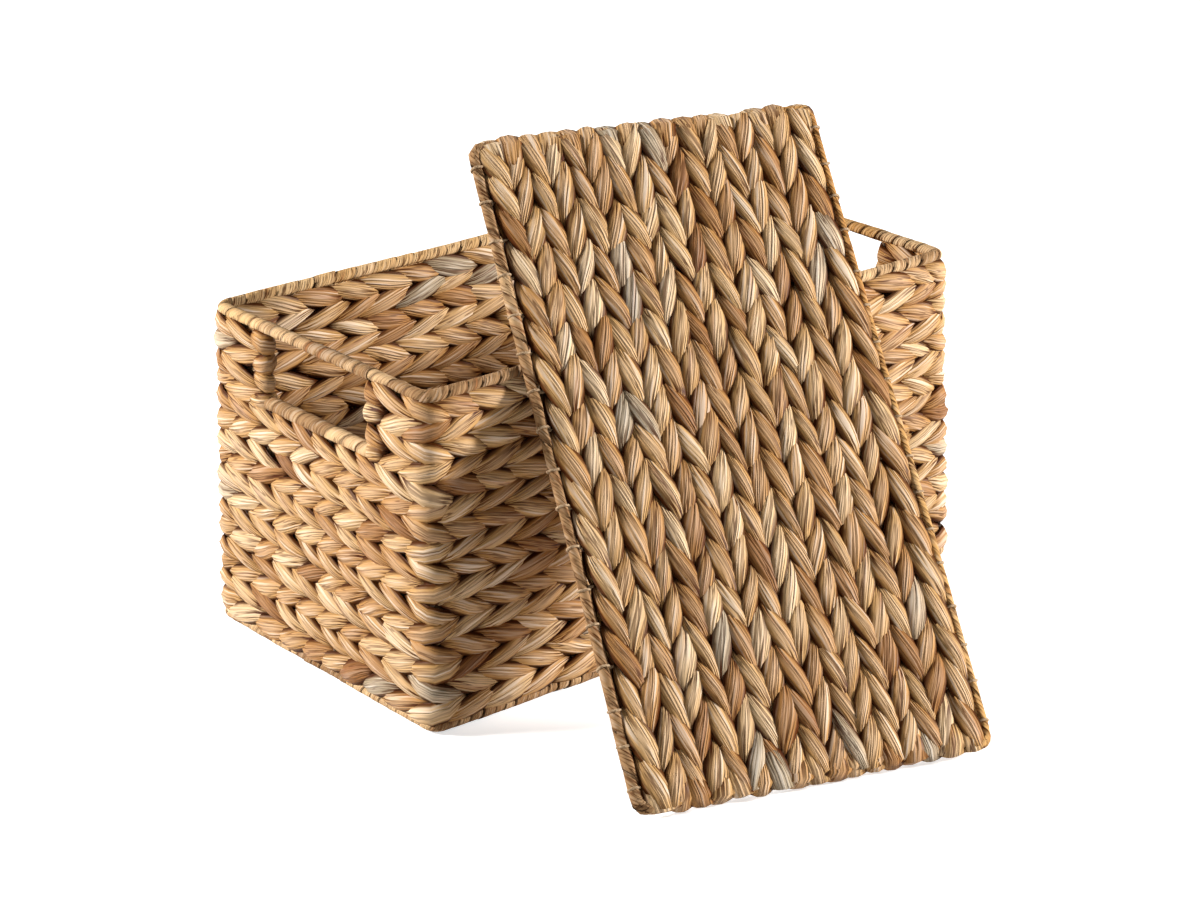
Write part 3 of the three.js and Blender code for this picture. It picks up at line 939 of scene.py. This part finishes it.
def bendWires(name, lines, finish):
    # round wires along lines of points, each with its radius; a closed one is a ring
    startPiece()
    bpy.ops.curve.primitive_nurbs_path_add()
    piece = bpy.context.object
    piece.name = name
    wires = piece.data
    wires.splines.clear()
    wires.bevel_depth = 1.0
    wires.bevel_resolution = 1
    wires.use_fill_caps = True
    for points, radius, closed in lines:
        line = wires.splines.new("POLY")
        line.points.add(len(points) - 1)
        line.use_cyclic_u = closed
        for knot, point in zip(line.points, points):
            knot.co = (*point, 1)
            knot.radius = radius
    bpy.ops.object.convert(target="MESH")
    piece = bpy.context.object
    bpy.ops.object.shade_smooth()
    piece.data.materials.clear()
    piece.data.materials.append(finish)
    return piece


frameWires = {
    "ring": 2.0 * mm,  # radius of each
    "upright": 1.5 * mm,
    "cord": 1.1 * mm,
    "loop": 0.8 * mm,
    "loopSlack": 0.5 * mm,  # of a cord's loop round the winding
    "loopShift": 1.0 * mm,  # how far the loops stray from their cords and lean over
    "loopLean": 0.25,
    "loopPoints": 14,
}


def ringPoints(path, z):
    return [(x, y, z) for x, y in zip(path.x[:-1], path.y[:-1])]


def bendBoxFrame(finish):
    setup, size = boxSetup, frameWires
    half = setup["wall"] / 2
    low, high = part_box("base_binding")
    foot = (high.z - low.z) / 2
    footX, footY, footZ = high.x - foot, high.y - foot, (low.z + high.z) / 2
    low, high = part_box("rim_binding_back")
    gripLow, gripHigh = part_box("handle_grip_right")
    bind = (gripHigh.z - gripLow.z) / 2
    rimX, rimY, rimZ = high.x - bind, high.y - bind, high.z - bind
    sillLow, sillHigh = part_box("sill_binding_right")
    sillZ = sillHigh.z - (sillHigh.x - sillLow.x) / 2
    jamb = -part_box("course_13_front")[1].y + half
    lines = [
        (ringPoints(ringPath(footX, footY, setup["radius"]), footZ), size["ring"], True),
        (ringPoints(ringPath(rimX, rimY, setup["radius"]), rimZ), size["ring"], True),
    ]
    share = (sillZ - footZ) / (rimZ - footZ)
    sillX = footX + share * (rimX - footX)
    footEnds, rimEnds = endStakes(jamb, footY), endStakes(jamb, rimY)
    inset = setup["radius"] * (1 - math.sqrt(0.5))
    for end in (-1, 1):
        lines.append(([(end * sillX, -jamb, sillZ), (end * sillX, jamb, sillZ)], size["ring"], False))
        for footAt, rimAt in zip(footEnds, rimEnds):
            top = (end * rimX, rimAt, rimZ) if abs(rimAt) > jamb - mm else (end * sillX, rimAt, sillZ)
            lines.append(([(end * footX, footAt, footZ), top], size["upright"], False))
        for side in (-1, 1):
            post = [(end * (footX - inset), side * (footY - inset), footZ),
                    (end * (rimX - inset), side * (rimY - inset), rimZ)]
            lines.append((post, size["upright"], False))
    for x in longStakes():
        for side in (-1, 1):
            lines.append(([(x, side * footY, footZ), (x, side * rimY, rimZ)], size["upright"], False))
    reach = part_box("base_plait_01")[1].x - baseSetup["end"]
    for x in np.linspace(-reach, reach, baseSetup["bars"]):
        lines.append(([(x, -footY, footZ), (x, footY, footZ)], size["upright"], False))
    dress(bendWires("boxWires", lines, finish), "box", "box_frame")
    print("box frame bent")


def bendLidFrame(finish, axes):
    # the wire round the lid, and the cords across it, each looped over the winding of both sides
    size = frameWires
    flat = np.array([axes[0], axes[2], -axes[1]])
    halfX = extent("lid_row_01", axes, 0)[1] - lidSetup["thickness"] / 2
    near, far = extent("lid_binding_right", axes, 2)
    halfY, around = (near + far) / 2, (far - near) / 2
    radius = around + size["loopSlack"]
    ring = ringPath(halfX, halfY, lidEdge["radius"])
    lines = [(ringPoints(ring, 0.0), size["ring"], True)]
    pitch = 2 * halfX / lidSetup["cords"]
    for number in range(lidSetup["cords"]):
        x = (number + 0.5) * pitch - halfX
        lines.append(([(x, -halfY, 0.0), (x, halfY, 0.0)], size["cord"], False))
        for side in (-1, 1):
            shift = dice.normal(0, size["loopShift"])
            lean = dice.normal(0, size["loopLean"])
            loop = []
            for turn in np.linspace(0, 2 * math.pi, size["loopPoints"] + 1)[:-1]:
                out, up = radius * math.cos(turn), radius * math.sin(turn)
                loop.append((x + shift + lean * around * math.sin(turn), side * halfY + out, up))
            lines.append((loop, size["loop"], True))
    placed = [(np.array(points) @ flat + axes[3], thick, closed) for points, thick, closed in lines]
    dress(bendWires("lidWires", placed, finish), "lid", "lid_frame")
    print("lid frame bent")


# Studio

studio = {
    "floor": 12.0,
    "floorLevel": -0.8 * mm,  # just below the lowest leaves
    "floorTone": 0.82,
    "lift": 0.62,  # glow of the floor where it is seen, not as light
    "ambient": 0.11,  # light of the white background
    "lamps": {  # place, size and power of each
        "leftLamp": ((-2.20, 1.43, 1.40), 0.5, 136),
        "rightLamp": ((2.50, -2.05, 1.00), 0.5, 206),
    },
    "target": (0, -0.1, 0.1),
}


def addFloor(setup):
    startPiece()
    bpy.ops.mesh.primitive_plane_add(size=setup["floor"], location=(0, 0, setup["floorLevel"]))
    floor = bpy.context.object
    floor.name = "floor"
    made = Finish(bpy.data.materials.new("paleFloor"))
    matte = made.add("ShaderNodeBsdfDiffuse", None, {"Color": (*[setup["floorTone"]] * 3, 1)})
    glow = made.add("ShaderNodeEmission", None, {"Strength": made.seen() * setup["lift"]})
    both = made.add("ShaderNodeAddShader", None, (matte, glow))
    made.add("ShaderNodeOutputMaterial", None, {"Surface": both})
    floor.data.materials.append(made.owner)


def addLamp(name, place, size, power, target):
    bpy.ops.object.light_add(type="AREA", location=place)
    lamp = bpy.context.object
    lamp.name = name
    lamp.data.size = size
    lamp.data.energy = power
    lamp.rotation_euler = (Vector(target) - Vector(place)).to_track_quat("-Z", "Y").to_euler()


def addStudio(setup):
    addFloor(setup)
    for name, (place, size, power) in setup["lamps"].items():
        addLamp(name, place, size, power, setup["target"])
    scene = bpy.context.scene
    scene.world = bpy.data.worlds.new("studio")
    made = Finish(scene.world)
    strength = setup["ambient"] + made.seen() * (1 - setup["ambient"])
    sky = made.add("ShaderNodeBackground", None, {"Color": (1, 1, 1, 1), "Strength": strength})
    made.add("ShaderNodeOutputWorld", None, {"Surface": sky})
    scene.view_settings.view_transform = "Standard"
    print("studio set")


addCamera(cameraSetup)
addStudio(studio)
leafBlanks += [modelLeaf(number, leafShape) for number in range(8)]
lidLeafBlanks += [modelLeaf(number, lidLeafShape) for number in range(8)]
wrapBlanks += [modelLeaf(number, wrapShape) for number in range(4)]
turnBlank = modelTurn(stripShape)
weaveStalk = stalkFinish("hyacinthLeaf", stalkColours, weaveLook)
boundStalk = stalkFinish("boundStalk", boundColours, boundLook)
frameWire = wireFinish()
warpCord = cordFinish()

weaveBox(weaveStalk)
weaveBase(weaveStalk)
lidPlane = lidAxes()
weaveLid(weaveStalk, lidPlane)
bindBox(boundStalk, turnBlank)
bindLid(boundStalk, turnBlank, lidPlane)
bendBoxFrame(frameWire)
bendLidFrame(warpCord, lidPlane)
